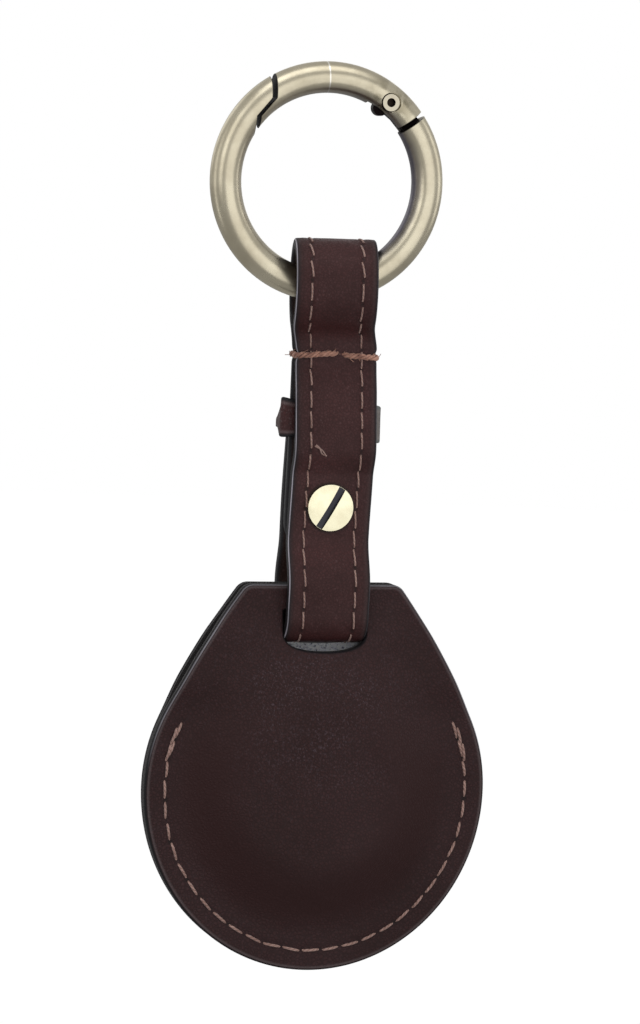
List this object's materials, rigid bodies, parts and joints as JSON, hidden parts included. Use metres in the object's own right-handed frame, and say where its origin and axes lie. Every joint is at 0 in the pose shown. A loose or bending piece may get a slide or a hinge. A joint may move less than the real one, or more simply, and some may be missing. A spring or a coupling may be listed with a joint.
{
  "type": "tracker tag holder",
  "caption": "Round-bottomed leather pouch for a coin-shaped tracker tag, on a doubled strap with a clamp screw and a spring gate ring.",
  "frame": {"origin": "centre of the ring's eye, in the ring's middle plane", "axes": "+Z from the pouch up to the top of the ring, -Y out of the front, where the screw's head is, +X to the right as seen from the front"},
  "size_m": [0.0492, 0.0132, 0.1278],
  "materials": {
    "ring_body": "satin antique brass, darker in the recesses",
    "ring_gate": "satin antique brass",
    "gate_pin": "dark antique brass",
    "gate_spring": "dark spring steel",
    "strap_outer": "smooth dark brown leather with painted edges",
    "strap_lining": "smooth brown lining leather",
    "tie_stitch": "twisted tan thread",
    "keeper_loop": "smooth dark brown leather with painted edges",
    "clamp_screw": "pale polished brass",
    "screw_post": "pale polished brass",
    "front_leather": "fine-grained dark brown leather",
    "front_lining": "grey suede",
    "back_leather": "fine-grained dark brown leather",
    "back_lining": "grey suede"
  },
  "bodies": {
    "ring": {"ring_body": "ring_body", "gate_pin": "gate_pin", "gate_spring": "gate_spring"},
    "gate": {"ring_gate": "ring_gate"},
    "strap": {"strap_outer": "strap_outer", "strap_lining": "strap_lining", "tie_stitch": "tie_stitch"},
    "keeper": {"keeper_loop": "keeper_loop"},
    "screw": {"clamp_screw": "clamp_screw"},
    "post": {"screw_post": "screw_post"},
    "pouch": {"front_leather": "front_leather", "front_lining": "front_lining", "back_leather": "back_leather", "back_lining": "back_lining"}
  },
  "joints": [
    {"name": "gate_hinge", "type": "hinge", "parent": "ring", "child": "gate", "pos_m": [0.00838, 0, 0.01124], "axis": [0, -1, 0], "range_deg": [0, 25], "stiffness_Nm_per_rad": 0.02, "springref_deg": -11.46},
    {"name": "strap_swing", "type": "hinge", "parent": "ring", "child": "strap", "pos_m": [0, 0, -0.0145], "axis": [1, 0, 0], "range_deg": [-150, 150]},
    {"name": "keeper_slide", "type": "slide", "parent": "strap", "child": "keeper", "axis": [0, 0, 1], "range_m": [-0.001, 0.001]},
    {"name": "screw_turn", "type": "hinge", "parent": "strap", "child": "screw", "pos_m": [0.0015, 0, -0.0454], "axis": [0, -1, 0], "range_deg": [0, 2880.5]},
    {"name": "post_slide", "type": "slide", "parent": "strap", "child": "post", "axis": [0, 1, 0], "range_m": [0, 0.004]},
    {"name": "pouch_swing", "type": "hinge", "parent": "strap", "child": "pouch", "pos_m": [0, 0.00095, -0.0603], "axis": [1, 0, 0], "range_deg": [-5, 5]}
  ],
  "couplings": [
    {"joint": "screw_turn", "follows": "post_slide", "rad_per_m": 12566}
  ]
}
